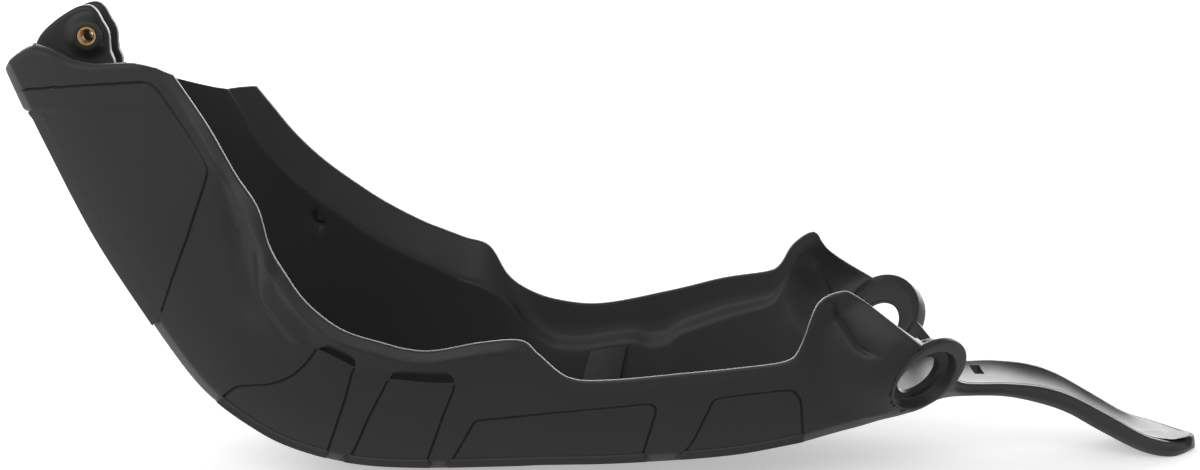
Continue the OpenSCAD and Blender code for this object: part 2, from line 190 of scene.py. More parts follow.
def half(u, s, right, depth):
    """Lines through edge, foot, root, ledge and rim (c1, c2, c3, cb, c4), a parabola across the floor, a
    bow in the wall, and eased corners. depth 0 is the outer face and 1 the inner face."""
    u, s = np.broadcast_arrays(np.asarray(u, float), np.asarray(s, float))
    edge, rim = placed(curve(SPINE, u)), placed(curve(RIGHT_RIM if right else LEFT_RIM, u))
    ahead = unit((placed(curve(SPINE, u + 0.1)) - placed(curve(SPINE, u - 0.1))) * [1, 0, 1])
    inward = np.stack([-ahead[..., 2], 0 * u, ahead[..., 0]], -1)
    # The front end of the bottom is a bead.
    edge = edge - inward * (bead(u) * (1 - depth))[..., None]
    run = (rim - edge) * [1, 0, 1]
    rise = np.linalg.norm(run, axis=-1)
    way = run / rise[..., None]
    lower = np.minimum(*(np.linalg.norm((placed(curve(rows, u)) - edge) * [1, 0, 1], axis=-1)
                         for rows in (LEFT_RIM, RIGHT_RIM)))
    thick, lift = depth * WALL, depth * np.minimum(WALL, lower * 0.85)
    bevel = np.minimum(BEVEL_HEIGHT, rise / 3) * (1 - 0.4 * depth)
    if right:
        band, out, ledge = np.minimum(right_band(u), rise / 2), right_slope(u), right_step(u)
    else:
        band, out, ledge = LIP_WIDTH * np.minimum(1, rise / 30), left_flare(u), 0 * u
    across = np.array([0.0, 1.0, 0.0])
    base = edge * [1, 0, 1] + inward * lift[..., None]
    y_foot = edge[..., 1] + np.minimum(BEVEL_WIDTH, (rim[..., 1] - edge[..., 1]) * 0.8) - thick
    y_edge, y_root = edge[..., 1] - thick * 0.6, rim[..., 1] - out - ledge - thick
    c1 = base + across * y_edge[..., None]
    c2 = base + way * bevel[..., None] + across * y_foot[..., None]
    top = rim * [1, 0, 1]
    root = top - way * np.minimum(band, rise - lift - bevel)[..., None]
    # On the left the wall curves out under the lip over UNDER_LIP millimetres, and the lip stands upright.
    on_left = np.clip(u, 0, 1) * (not right)
    full_out = np.clip((out - 1) / 3, 0, 1)
    under = across * (on_left * out * (0.85 + 0.25 * full_out))[..., None]
    lean = across * (on_left * LEAN * full_out)[..., None]
    # On the right a ledge ends this share of the way up the lip.
    ledge_share = (0.05 + 0.15 * np.clip((u - 10) / 3, 0, 1) if right else 0.2 + 0 * u)[..., None]
    c3 = root + across * y_root[..., None] + under
    c4 = top + across * (y_root + ledge + out)[..., None] - lean
    cb = (root * (1 - ledge_share) + top * ledge_share + under * (1 - ledge_share)
          + across * (y_root + ledge + out * ledge_share[..., 0])[..., None])
    part = np.clip(np.floor(s), 0, 3)
    t = (s - part)[..., None]
    bow = across * (bulge(u) * 4)[..., None]
    wall = c3 - under - c2
    tall = np.linalg.norm(wall, axis=-1)
    share_under = np.clip(UNDER_LIP / np.maximum(tall, 1), 0.05, 0.6)
    bend = np.clip(1 - (1 - t[..., 0]) / share_under, 0, 1)[..., None]
    crest = (crown(u)[..., None] * -inward)
    floor = base + across * y_edge[..., None] * t + crest * (1 - t * t)
    lip = np.where(t < 0.2, c3 + (cb - c3) * t * 5, cb + (c4 - cb) * (t - 0.2) / 0.8)
    point = np.select([part[..., None] == k for k in range(4)],
                      [floor, c1 + (c2 - c1) * t, c2 + wall * t + bow * t * (1 - t) + under * bend**2, lip])
    lengths = [y_edge] + [
        np.linalg.norm(b - a, axis=-1) for a, b in ((c1, c2), (c2, c3), (c3, cb), (cb, c4))]
    along_floor = across * y_edge[..., None] - 2 * crest
    wall_end = wall - bow + under * (2 / share_under)[..., None]
    t, soft_corner = t[..., 0], 0.8 + 2.2 * np.clip((u - 10) / 3, 0, 1)
    for before, after, near_side, far_side, radius in (
            (along_floor, c2 - c1, (0, 1 - t), (1, t), EDGE_R),
            (c2 - c1, wall + bow, (1, 1 - t), (2, t), BEVEL_R),
            (wall_end, cb - c3, (2, 1 - t), (3, t * 5), soft_corner if right else LIP_R)):
        radius = np.minimum(radius, 0.45 * np.minimum(lengths[near_side[0]], lengths[far_side[0]]))
        away = np.where(part == near_side[0], near_side[1] * lengths[near_side[0]],
                        np.where(part == far_side[0], far_side[1] * lengths[far_side[0]], 1e3))
        point = eased(point, before, after, away, radius)
    if right:
        radius = np.minimum(soft_corner, 0.45 * np.minimum(lengths[3], lengths[4]))
        beside_ledge = np.where(t < 0.2, (0.2 - t) * 5 * lengths[3], (t - 0.2) / 0.8 * lengths[4])
        away = np.where(part == 3, beside_ledge, 1e3)
        point = eased(point, cb - c3, c4 - cb, away, radius)
    # Inside, the tail is a shallow dish: height over its floor grows with the cube of the distance from the
    # middle. Towards the tip the dish fills up to its rims.
    dish = depth * np.clip((u - 24) / 1.5, 0, 1)
    height, full = ((point - base) * inward).sum(-1), ((c4 - base) * inward).sum(-1)
    share = np.clip(point[..., 1] / np.maximum(c4[..., 1], 1), 0, 1)
    level = np.clip((u - 30.4) / 1.4, 0, 1)
    level = level * level * (3 - 2 * level)
    return point + inward * (dish * (full * (share**3 * (1 - level) + level) - height))[..., None]


def section(u, sigma, depth=0.0):
    """Both halves: sigma is -s on the left side and s on the right side."""
    u, sigma = np.broadcast_arrays(np.asarray(u, float), np.asarray(sigma, float))
    left = half(u, np.abs(sigma), False, depth) * [1, -1, 1]
    return np.where((sigma < 0)[..., None], left, half(u, np.abs(sigma), True, depth))


print("rim points at station 8:", section(8.0, np.array([-4.0, 4.0])).round(1).tolist())

# %% [markdown]
# Round each rear boss the wall runs up to the boss in a ramp. A boss leans out and down, so points of
# both faces of the wall are moved along its axis: fully at the boss, and less and less with distance.

# %% The rear bosses and the wall that runs up to them
NEAR, FAR = -1, 1
BOSS_FACE = {NEAR: (164, 55.4), FAR: (160, 54.5)}
BOSS_REACH, BOSS_R = 80, 23.0
BOSS_DROP, BOSS_TURN = math.radians(30), math.radians(34)
# How far below a boss's face the wall meets it, dives within it and has its inner face.
MEETS_AT, DIVES_BY, INNER_AT = 0.35, 8.65, 10.6
RAMP_TAILWARD, RAMP_FORWARD = 8, 20


def boss_place(side):
    """The centre of a boss's outer face and the direction straight out of it."""
    x, z = BOSS_FACE[side]
    level = math.cos(BOSS_DROP)
    out = np.array([level * math.sin(BOSS_TURN), side * level * math.cos(BOSS_TURN), -math.sin(BOSS_DROP)])
    return np.array([(x - MIDDLE) * ALONG, side * BOSS_REACH, z * UP]), out


def ramped(points, side, depth):
    """Move points along the boss axis towards its edge: fully inside the boss, less and less outside it,
    further out on the front side than on the tail side."""
    centre, out = boss_place(side)
    offset = points - centre
    z = offset @ out
    flat = offset - z[..., None] * out
    r = np.linalg.norm(flat, axis=-1)
    ahead = np.array([-1.0, 0, 0.35])
    forward = unit(ahead - (ahead @ out) * out)
    toward = np.clip((flat @ forward) / np.maximum(r, 1e-6), 0, 1)
    width = RAMP_TAILWARD + RAMP_FORWARD * toward**1.5
    share = np.clip(1 - (r - BOSS_R + 1) / width, 0, 1)
    # Nearly half of it a smooth S and the rest straight, which leaves a soft crease where it begins.
    share = share * share * (3 - 2 * share) * 0.45 + share * 0.55
    inside = np.clip((BOSS_R - 1.1 - r) / 2.5, 0, 1)
    goal = np.where(depth > 0.5, -INNER_AT, -MEETS_AT - inside * DIVES_BY)
    reach = np.clip(1 - (np.abs(z + 6) - 30) / 10, 0, 1)
    same_side = np.clip((points[..., 1] * side - 20) / 10, 0, 1)
    return points + ((goal - z) * share * reach * same_side)[..., None] * out


print("left boss at", boss_place(NEAR)[0].round(1))

# %% Front edge and whole surface
# The front edge isn't straight: distance from the middle, left side negative, and height over station 0.
FRONT_EDGE = np.array([
    [-72, 0], [-71.5, 2], [-70.8, 5.7], [-67.6, 9], [-64, 7.9], [-60.4, 6.5], [-56.4, 5.2], [-52, 6.8],
    [-47.7, 12.2], [-43, 15.6], [-38, 12.5], [-32.7, 6.8], [-27, 3], [-24, 1], [24, 1], [32, 9], [38, 10],
    [44, 9.5], [49.7, 9], [54.8, 7.1], [59.6, 3.7], [64, -2], [68.3, -6.5], [72.2, -10.2], [76, -10.7],
    [80, -8.2], [84.4, -3.2], [87.2, 0], [90, 0]], float)
# About the millimetres from station 0 to station 1, which turn that height into a share of a station.
FRONT_PITCH = 42


def station(run, sigma):
    """The front edge leaves station 0 by the table of its rise; the shift fades out at station 2."""
    y = section(0 * run, sigma)[..., 1]
    begin = -np.interp(y, FRONT_EDGE[:, 0], FRONT_EDGE[:, 1]) / FRONT_PITCH
    return np.where(run < 2, begin + (2 - begin) * run / 2, run)


def skin(run, sigma, depth=0.0):
    """A point of the finished moulding without its grooves and folds."""
    run, sigma = np.broadcast_arrays(run, sigma)
    u = station(run, sigma)
    point = section(u, sigma, depth)
    for side in (NEAR, FAR):
        moved = ramped(point, side, np.zeros_like(run) + depth)
        point = np.where((sigma * side > 0.5)[..., None], moved, point)
    return point


def slopes(run, sigma, depth=0.0, step=0.02):
    """Directions along the plate and across it, by small differences."""
    a = skin(np.minimum(run + step, LAST), sigma, depth) - skin(np.maximum(run - step, 0), sigma, depth)
    b = skin(run, np.minimum(sigma + step, 4), depth) - skin(run, np.maximum(sigma - step, -4), depth)
    width_a = np.minimum(run + step, LAST) - np.maximum(run - step, 0)
    width_b = np.minimum(sigma + step, 4) - np.maximum(sigma - step, -4)
    return a / width_a[..., None], b / width_b[..., None]


def outward(run, sigma):
    """The cross product of the two directions, which points out of the moulding."""
    a, b = slopes(run, sigma)
    return unit(np.cross(b, a))


print("outward at the belly:", outward(np.array([12.0]), np.array([0.0])).round(2).tolist())

# %% [markdown]
# The panel grooves, two slots and a small tail slot don't follow the rows and columns of a grid. So
# the surface is cut up flat instead: its two coordinates are laid out on a sheet, the lines of the
# grooves and the outlines of the slots are drawn on it, and a Delaunay triangulation joins all the
# points without crossing a line. Each point is then carried to its place on the moulding.

# %% Lines on the left wall
def path(points, spacing=1.2, closed=False):
    """A smooth line through (station, share of the wall's height), evenly spaced in millimetres."""
    rows = np.array(points, float)
    n = len(rows)
    k = np.linspace(0, n if closed else n - 1, 60 * n + 1)
    i = np.minimum(k.astype(int), n - 1 if closed else n - 2)
    t = (k - i)[:, None]
    at = (lambda j: rows[j % n]) if closed else (lambda j: rows[np.clip(j, 0, n - 1)])
    a, b = at(i), at(i + 1)
    sa, sb = (b - at(i - 1)) / 2, (at(i + 2) - a) / 2
    fine = cubic(a, b, sa, sb, t)
    place = skin(fine[:, 0], fine[:, 1])
    length = length_along(place)
    even = np.linspace(0, length[-1], max(3, int(length[-1] / spacing) + 1))
    return np.stack([np.interp(even, length, fine[:, 0]), np.interp(even, length, fine[:, 1])], 1)


def on_wall(points):
    """Groove points name the share of the left wall's height; sigma counts it from -2 to -3."""
    rows = np.array(points, float)
    return np.stack([rows[:, 0], -2 - rows[:, 1]], 1)


def beside(line, distance, closed=False):
    """Shift a line sideways by a distance in millimetres, through the surface's own two directions."""
    place = skin(line[:, 0], line[:, 1])
    if closed:
        aim = unit(np.roll(place, -1, 0) - np.roll(place, 1, 0))
    else:
        aim = unit(np.gradient(place, axis=0))
    a, b = slopes(line[:, 0], line[:, 1])
    side = np.cross(unit(np.cross(b, a)), aim)
    aa, ab, bb = (a * a).sum(1), (a * b).sum(1), (b * b).sum(1)
    sa, sb = (a * side).sum(1), (b * side).sum(1)
    det = aa * bb - ab * ab
    return line + distance * np.stack([(sa * bb - sb * ab) / det, (sb * aa - sa * ab) / det], 1)


GROOVES = [path(on_wall(p)) for p in (
    [[0.47, -0.05], [0.498, 0.037], [0.549, 0.112], [0.573, 0.186], [0.562, 0.26], [0.525, 0.319],
     [0.472, 0.378], [0.412, 0.436], [0.388, 0.494], [0.365, 0.552], [0.368, 0.61], [0.371, 0.668],
     [0.375, 0.726], [0.377, 0.784], [0.38, 0.841], [0.4, 0.875], [0.44, 0.904], [0.532, 0.915],
     [0.627, 0.921], [0.84, 0.921], [1.071, 0.926], [1.312, 0.934], [1.538, 0.94], [1.734, 0.933],
     [1.854, 0.896], [2.032, 0.814], [2.213, 0.725], [2.505, 0.555], [2.705, 0.392], [2.836, 0.267],
     [2.97, 0.13], [3.08, 0.0]],
    [[5.05, 0.01], [5.22, 0.138], [5.6, 0.25], [6.0, 0.359], [6.39, 0.514], [6.6, 0.687], [6.669, 0.834]],
    [[7.64, 0.8], [7.648, 0.75], [7.784, 0.484], [7.937, 0.061], [7.945, 0.01]],
    [[8.515, 0.01], [8.538, 0.108], [8.565, 0.42], [8.671, 0.76]],
    [[10.465, 0.72], [10.453, 0.68], [10.266, 0.411], [10.046, 0.01]],
    [[10.49, 0.01], [10.582, 0.107], [10.821, 0.327], [10.88, 0.36], [10.951, 0.371], [11.222, 0.376],
     [11.522, 0.382], [11.866, 0.392], [12.349, 0.417], [13.007, 0.478], [13.479, 0.562], [13.874, 0.654],
     [14.217, 0.71], [14.534, 0.737], [14.807, 0.75], [15.035, 0.761], [15.225, 0.768], [15.395, 0.772],
     [15.557, 0.769], [15.625, 0.73], [15.64, 0.652], [15.6, 0.5], [15.555, 0.334], [15.46, 0.01]],
    [[16.05, 0.01], [16.184, 0.175], [16.266, 0.311], [16.348, 0.446], [16.43, 0.581], [16.513, 0.715],
     [16.58, 0.75], [16.677, 0.763], [16.898, 0.768], [17.126, 0.77], [17.353, 0.769], [17.593, 0.763],
     [17.874, 0.747], [18.12, 0.71], [18.316, 0.652], [18.6, 0.56], [18.83, 0.43], [18.87, 0.2],
     [18.885, 0.01]])]
GROOVE_HALF, GROOVE_FLAT, GROOVE_DEPTH = 0.85, 0.12, 1.1
print(sum(len(g) for g in GROOVES), "points along", len(GROOVES), "grooves")

# %% Outlines of the slots
# Each goes once round its slot; the first two rows run along its upper edge towards the tail.
SLOTS = [path(outline, 0.7, closed=True)[:-1] for outline in (
    [[6.72, -2.857], [6.825, -2.916], [6.935, -2.944], [7.212, -2.942], [7.463, -2.919], [7.573, -2.885],
     [7.632, -2.832], [7.61, -2.828], [7.4, -2.845], [7.191, -2.859], [6.9, -2.862]],
    [[8.715, -2.805], [8.73, -2.848], [8.81, -2.88], [9.2, -2.905], [9.656, -2.914], [10.0, -2.9],
     [10.305, -2.879], [10.413, -2.84], [10.47, -2.77], [10.44, -2.764], [10.1, -2.79], [9.728, -2.807],
     [9.2, -2.81], [8.8, -2.803]],
    [[26.515, 0.3], [26.6, 0.28], [26.73, 0.29], [26.745, 0.32], [26.72, 0.6], [26.7, 0.88],
     [26.68, 0.9], [26.6, 0.905], [26.48, 0.9], [26.47, 0.86], [26.49, 0.6], [26.51, 0.33]])]
slot_place = np.concatenate([skin(*outline.T) for outline in SLOTS])
print([len(outline) for outline in SLOTS], "points round the slots")

# %% [markdown]
# Folds are soft lines in the wall: the valley under the left lip with a fuller cheek beside it, the
# creases that run down each rear ear, and a small hook mark. They could be sculpted by hand. Here a fold
# is a line on the surface with a height across it, a ridge or a step that fades out again, because a
# formula can be moved and measured. A negative ridge is a furrow.

# %% Folds
# Line, 1 for the inner face, kind, height and half width, and where the height of a step begins and
# ends to fade. In order: cheek, valley, left ear, right ear twice, hook mark.
FOLDS = [(path(line, 1.0), *how) for line, *how in (
    ([[3.455, -2.96], [3.91, -2.922], [4.325, -2.834], [4.664, -2.782], [5.303, -2.773],
      [5.839, -2.761], [6.262, -2.775], [6.6, -2.84]], 0, "step", 2.6, 2.3, 5, 14),
    ([[1.6, -3.0], [2.1, -2.98], [2.5, -2.93], [2.95, -2.87], [3.35, -2.81], [3.8, -2.75], [4.3, -2.7],
      [4.9, -2.67], [5.5, -2.66]], 0, "ridge", -2.4, 5.0, 0, 0),
    ([[20.39, -3.99], [20.566, -3.355], [20.8, -2.935], [20.922, -2.872], [21.047, -2.824],
      [21.207, -2.777], [21.482, -2.734], [21.905, -2.731], [22.294, -2.768]],
     0, "ridge", -2.2, 1.8, 0, 0),
    ([[20.6, 3.3], [20.729, 2.97], [20.851, 2.894], [21.007, 2.819], [21.486, 2.733], [21.837, 2.7],
      [22.225, 2.731], [22.675, 2.851], [23.167, 3.462], [23.5, 3.8]], 1, "step", 2.2, 1.3, 4, 12),
    ([[22.6, 2.66], [22.9, 2.74], [23.181, 2.881], [23.647, 3.6], [23.9, 3.9]], 1, "step", 1.4, 1.2, 3, 9),
    ([[4.403, 2.925], [4.45, 2.895], [4.562, 2.872], [4.776, 2.862], [5.008, 2.89]],
     1, "ridge", -2.0, 1.2, 0, 0))]


def from_line(points, line, inner):
    """Distance from each point to a line, the side on which it lies and the share of the line's length
    at the nearest place."""
    place, normal = skin(line[:, 0], line[:, 1], float(inner)), outward(line[:, 0], line[:, 1])
    side = np.cross(normal, unit(np.gradient(place, axis=0)))
    nearest = np.concatenate([
        np.linalg.norm(part[:, None] - place[None], axis=2).argmin(1)
        for part in np.array_split(points, max(1, len(points) // 2000))])
    offset = points - place[nearest]
    which_side = np.sign((offset * side[nearest]).sum(1))
    return np.linalg.norm(offset, axis=1), which_side, nearest / (len(place) - 1)


def ramp(x):
    """0 below 0, 1 above 1 and a smooth S between."""
    x = np.clip(x, 0, 1)
    return x * x * (3 - 2 * x)


def fold_height(points, sigma, inner):
    """The sum of all folds of one face, each tapered towards both ends of its line."""
    total = np.zeros(len(points))
    for line, face, kind, height, half_width, begin, end in FOLDS:
        if face != inner:
            continue
        place = skin(line[:, 0], line[:, 1])
        reach = max(end, 3 * half_width) + 2
        near = np.flatnonzero(((points > place.min(0) - reach) & (points < place.max(0) + reach)).all(1)
                              & (np.sign(sigma) == np.sign(line[0, 1])))
        distance, side, share = from_line(points[near], line, inner)
        taper = ramp(share / 0.2) * ramp((1 - share) / 0.25)
        if kind == "ridge":
            rise = np.exp(-(distance / half_width) ** 2)
        else:
            rise = ramp((side * distance / half_width + 1) / 2)
            rise = rise * (1 - ramp((distance - begin) / (end - begin)))
        total[near] += height * rise * taper
    return total


print(len(FOLDS), "folds")

# %% The sheet
# Across the sheet, sigma is laid out by this table. Along it, a station lies at the length of the bottom
# edge up to it.
SHEET_SIGMA = np.array([-4, -3, -2, -1, 0, 1, 2, 3, 3.2, 4], float)
SHEET_Y = np.array([-150, -142, -88, -78, 0, 78, 88, 138, 142, 156], float)
stations = np.linspace(0, LAST, 1001)
lengths = length_along(placed(curve(SPINE, stations)) * [1, 0, 1])


def to_sheet(points):
    """Station and sigma to a place on the flat sheet."""
    along = np.interp(points[:, 0], stations, lengths)
    return np.stack([along, np.interp(points[:, 1], SHEET_SIGMA, SHEET_Y)], 1)


def from_sheet(points):
    """A place on the flat sheet to station and sigma."""
    run = np.interp(points[:, 0], lengths, stations)
    return np.stack([run, np.interp(points[:, 1], SHEET_Y, SHEET_SIGMA)], 1)


run_rows = np.interp(np.linspace(0, lengths[-1], 300), lengths, stations)
# Extra rows stand where the bead ends and where the flush skirt will end.
run_rows = np.sort(np.concatenate([run_rows, [0.6, 0.64, 0.66, 0.69, 0.73, 3.03, 3.07, 3.11]]))
ROWS = len(run_rows)
# Columns stand at shares of each zone, and close to its corners at distances in millimetres.
zone_mid = {0: np.linspace(0, 1, 10)[1:-1], 1: [0.5], 2: np.linspace(0, 1, 15)[1:-1], 3: [0.5]}


def columns(right):
    """s of every column in each row, from the middle (s = 0) to the rim (s = 4)."""
    lengths_by_zone = []
    for zone in range(4):
        t = np.linspace(zone, zone + 1, 9)
        line = half(run_rows[:, None], t[None, :] - 1e-6 * (t == zone + 1), right, 0)
        lengths_by_zone.append(np.linalg.norm(np.diff(line, axis=1), axis=2).sum(1))
    parts = []
    for zone, length in enumerate(lengths_by_zone):
        nudge = np.minimum(1.2 / length, 0.3 if zone == 3 else 0.12)
        for share in zone_mid[zone]:
            parts.append(zone + share + 0 * length)
        for corner in ([0, 1] if zone else [1]):
            for k in (1, 2):
                if zone == 1 and k == 2:
                    continue
                parts.append(zone + abs(corner - k * nudge) if corner else zone + k * nudge)
        if zone:
            parts.append(zone + 0 * length)
    if right:
        parts += [3.2 + 0 * run_rows, 3.2 + np.minimum(1.2 / lengths_by_zone[3], 0.1)]
    parts.append(4 + 0 * run_rows)
    return np.sort(np.stack(parts, 1), 1)


left_s, right_s = columns(False), columns(True)
sigma_rows = np.concatenate([-left_s[:, ::-1], np.zeros((ROWS, 1)), right_s], 1)
base = np.stack([np.repeat(run_rows[:, None], sigma_rows.shape[1], 1), sigma_rows], -1)
print("grid of", base.shape[0], "rows and", base.shape[1], "columns")

# %% Distance to the grooves
groove_points = np.concatenate([skin(*path(g, 0.3).T) for g in GROOVES])
NOT_NEAR = 99.0


def groove_distance(points):
    """Shortest distance from each point to any groove's middle line, NOT_NEAR on the right and behind."""
    result = np.full(len(points), NOT_NEAR)
    near = np.flatnonzero((points[:, 1] < -20) & (points[:, 0] < 110))
    # In portions, so that the table of all distances stays small.
    for chunk in np.array_split(near, max(1, len(near) // 2000)):
        if len(chunk):
            gap = np.linalg.norm(points[chunk][:, None] - groove_points[None], axis=2)
            result[chunk] = gap.min(1)
    return result


def groove_depth(distance):
    """Full depth over the flat bottom, then a smooth rise to nothing at the edge."""
    t = np.clip((GROOVE_HALF - distance) / (GROOVE_HALF - GROOVE_FLAT), 0, 1)
    return GROOVE_DEPTH * t * t * (3 - 2 * t)


print("groove samples:", len(groove_points))

# %% Cut up the sheet
# Points of the grid keep CLEAR from a groove's middle, SLOT_CLEAR more than that from a slot, and
# FOLD_CLEAR less than that from the outermost lines of a narrow fold.
CLEAR, SLOT_CLEAR, FOLD_CLEAR = 2.1, 0.6, 1.2
# How far up its sigma the wall counts, which half width is narrow, and at which multiples of the half
# width the lines of a fold are drawn.
WALL_PART, NARROW, FOLD_LINES = 2.94, 4, (-1.5, -1, -0.5, 0, 0.5, 1, 1.5)


def in_loop(points, loop):
    """Count crossings of a ray to the right; odd means inside."""
    x, y = points[:, 0:1], points[:, 1:2]
    a, b = loop, np.roll(loop, -1, 0)
    hit = (a[:, 1] > y) != (b[:, 1] > y)
    cut = (b[:, 0] - a[:, 0]) * (y - a[:, 1]) / (b[:, 1] - a[:, 1] + 1e-12) + a[:, 0]
    return (hit & (x < cut)).sum(1) % 2 == 1


# Across a groove lines run along its middle, its two sides, its edges and just beyond them.
offsets = (0.0, 0.33, -0.33, 0.66, -0.66, GROOVE_HALF, -GROOVE_HALF, 1.5, -1.5)
lines, loops = [], []
for line in GROOVES:
    lines += [to_sheet(beside(line, d)) for d in offsets]
# A narrow fold is drawn where it lies on the wall; the grid is fine enough for the rest.
drawn_folds = [(fold[0][np.abs(fold[0][:, 1]) < WALL_PART], fold[4]) for fold in FOLDS if fold[4] < NARROW]
for line, half_width in drawn_folds:
    lines += [to_sheet(beside(line, half_width * k)) for k in FOLD_LINES]
for outline in SLOTS:
    loops.append(to_sheet(outline))
    lines.append(np.concatenate([to_sheet(beside(outline, 0.7, closed=True))] * 2)[:len(outline) + 1])

flat_base = to_sheet(base.reshape(-1, 2)).reshape(base.shape)
place = skin(base[..., 0], base[..., 1])
clear = groove_distance(place.reshape(-1, 3))
kept_clear = [(slot_place, SLOT_CLEAR)]
kept_clear += [(skin(*line.T), 1.5 * half_width - FOLD_CLEAR) for line, half_width in drawn_folds]
place = place.reshape(-1, 3)
for points_of, gap in kept_clear:
    near = np.flatnonzero(((place > points_of.min(0) - 6) & (place < points_of.max(0) + 6)).all(1))
    gaps = np.linalg.norm(place[near][:, None] - points_of[None], axis=2).min(1) - gap
    clear[near] = np.minimum(clear[near], gaps)
for loop in loops:
    clear[in_loop(flat_base.reshape(-1, 2), loop)] = 0
clear = clear.reshape(base.shape[:2])
edge_of_sheet = np.zeros(clear.shape, bool)
edge_of_sheet[[0, -1]] = True
edge_of_sheet[:, [0, -1]] = True
keep = (clear > CLEAR) | edge_of_sheet
index = np.full(keep.shape, -1)
index[keep] = np.arange(keep.sum())
points, edges = [flat_base[keep]], []
down = np.stack([index[:-1], index[1:]], -1).reshape(-1, 2)
over = np.stack([index[[0, -1]][:, :-1], index[[0, -1]][:, 1:]], -1).reshape(-1, 2)
edges += [e[(e >= 0).all(1)] for e in (down, over)]
count = len(points[0])
for line in lines:
    points.append(line)
    ids = np.arange(count, count + len(line))
    edges.append(np.stack([ids[:-1], ids[1:]], 1))
    count += len(line)
for loop in loops:
    points.append(loop)
    ids = np.arange(count, count + len(loop))
    edges.append(np.stack([ids, np.roll(ids, -1)], 1))
    count += len(loop)
points, edges = np.concatenate(points), np.concatenate(edges)
points[:, 0] = np.clip(points[:, 0], 0, lengths[-1])
cut = delaunay_2d_cdt(points.tolist(), edges.tolist(), [], 0, 1e-4, False)
flat = np.array([(v.x, v.y) for v in cut[0]])
triangles = np.array([f for f in cut[2] if len(f) == 3])
middle = flat[triangles].mean(1)
for loop in loops:
    triangles = triangles[~in_loop(middle, loop)]
    middle = flat[triangles].mean(1)
where = from_sheet(flat)
print(len(flat), "points and", len(triangles), "triangles on the sheet")

# %% [markdown]
# Each point of the sheet becomes two points: one on the outer face, sunk where it lies in a groove, and
# one on the inner face. Where the sheet ends, a half-round edge joins the two faces, and round a slot
# a straight wall does. The result is one closed surface with no loose edge.

# %% Both faces of the wall
# A slot's outer edge is eased by so much over such a width, and its inner edge falls by so much.
SLOT_EASE, SLOT_EASE_WIDTH, SLOT_FALL, SLOT_FALL_WIDTH = 0.25, 0.5, 2.6, 5
run, sigma = where[:, 0], where[:, 1]
outer = skin(run, sigma)
normals = outward(run, sigma)
depth = groove_depth(groove_distance(outer))
slot_gap = np.full(len(outer), NOT_NEAR)
by_panels = (run > 6) & (run < 11.3) & (sigma < -2.3)
by_tail = (run > 26) & (run < 27.3) & (sigma > 0)
close = np.flatnonzero(by_panels | by_tail)
slot_gap[close] = np.linalg.norm(outer[close][:, None] - slot_place[None], axis=2).min(1)
depth = np.maximum(depth, SLOT_EASE * np.clip(1 - slot_gap / SLOT_EASE_WIDTH, 0, 1) ** 2)
inner = skin(run, sigma, 1.0)
# Folds move points straight sideways, the way the moulding faces; grooves follow the surface.
sideways = np.sign(sigma)[:, None] * [0, 1, 0]
inner = inner - sideways * fold_height(inner, sigma, 1)[:, None]
outer = outer + sideways * fold_height(outer, sigma, 0)[:, None] - normals * depth[:, None]
# A slot's lower wall slopes down inwards, so that one doesn't see it from the side.
inner[:, 2] -= np.where(sigma < 0, SLOT_FALL * ramp(1 - (slot_gap - 0.5) / SLOT_FALL_WIDTH), 0)


def face_ways(side):
    """Two directions within the face of a boss: towards the tail, and down."""
    out = boss_place(side)[1]
    down = unit(np.array([0, 0, -1.0]) + out[2] * out)
    return unit(np.array([1.0, 0, 0]) - out[0] * out - down[0] * down), down


# The wall stops inside each boss, which closes it off: this circle lies so far below its centre, has
# this radius and reaches this far along its axis.
STOP_DOWN, STOP_R, STOP_REACH = 6.0, 13.3, 12
stops = np.zeros(len(outer), bool)
for side in (NEAR, FAR):
    centre, out = boss_place(side)
    for surface in (outer, inner):
        offset = surface - centre
        z = offset @ out
        r = np.linalg.norm(offset - z[:, None] * out - STOP_DOWN * face_ways(side)[1], axis=1)
        stops |= (r < STOP_R) & (np.abs(z + 6) < STOP_REACH) & (sigma * side > 0)
triangles = triangles[~stops[triangles].any(1)]
print(len(triangles), "triangles on each face;", int(stops.sum()), "points inside the bosses")

# %% Join the faces
def rim_of(faces):
    """Edges that belong to one triangle only, in that triangle's direction."""
    pairs = np.concatenate([faces[:, [0, 1]], faces[:, [1, 2]], faces[:, [2, 0]]])
    key = np.sort(pairs, 1)
    _, first, number = np.unique(key[:, 0] * len(flat) + key[:, 1], return_index=True, return_counts=True)
    return pairs[first[number == 1]]


EDGE_BULGE, EDGE_PARTS = 1.0, 6


def half_round(edge_pairs):
    """Between outer point O and inner point I: middle + (O - middle) cos a - E r (1 - sin a), where E
    points off the edge and r is how far the edge bulges."""
    ids = np.unique(edge_pairs)
    a, b = slopes(run[ids], sigma[ids])
    on_side, on_end = np.abs(sigma[ids]) > 3.999, (run[ids] < 1e-4) | (run[ids] > LAST - 1e-4)
    off = (unit(b) * (np.sign(sigma[ids]) * on_side)[:, None]
           + unit(a) * (np.where(run[ids] > 1, 1, -1) * on_end)[:, None])
    off = unit(off)
    mid, arm = (outer[ids] + inner[ids]) / 2, (outer[ids] - inner[ids]) / 2
    # A low lip has room for a small bulge only.
    half_of = np.sign(sigma[ids])
    lip = np.linalg.norm(skin(run[ids], 3 * half_of) - skin(run[ids], 4 * half_of), axis=1)
    bulge_out = np.minimum(EDGE_BULGE, np.where(on_end, EDGE_BULGE, lip * 0.22))
    bulge_out = np.minimum(bulge_out, np.linalg.norm(arm, axis=1) * 0.8)[:, None]
    rings = [mid + arm * math.cos(angle) - off * bulge_out * (1 - math.sin(angle))
             for angle in np.linspace(0, math.pi, EDGE_PARTS + 1)]
    return ids, rings


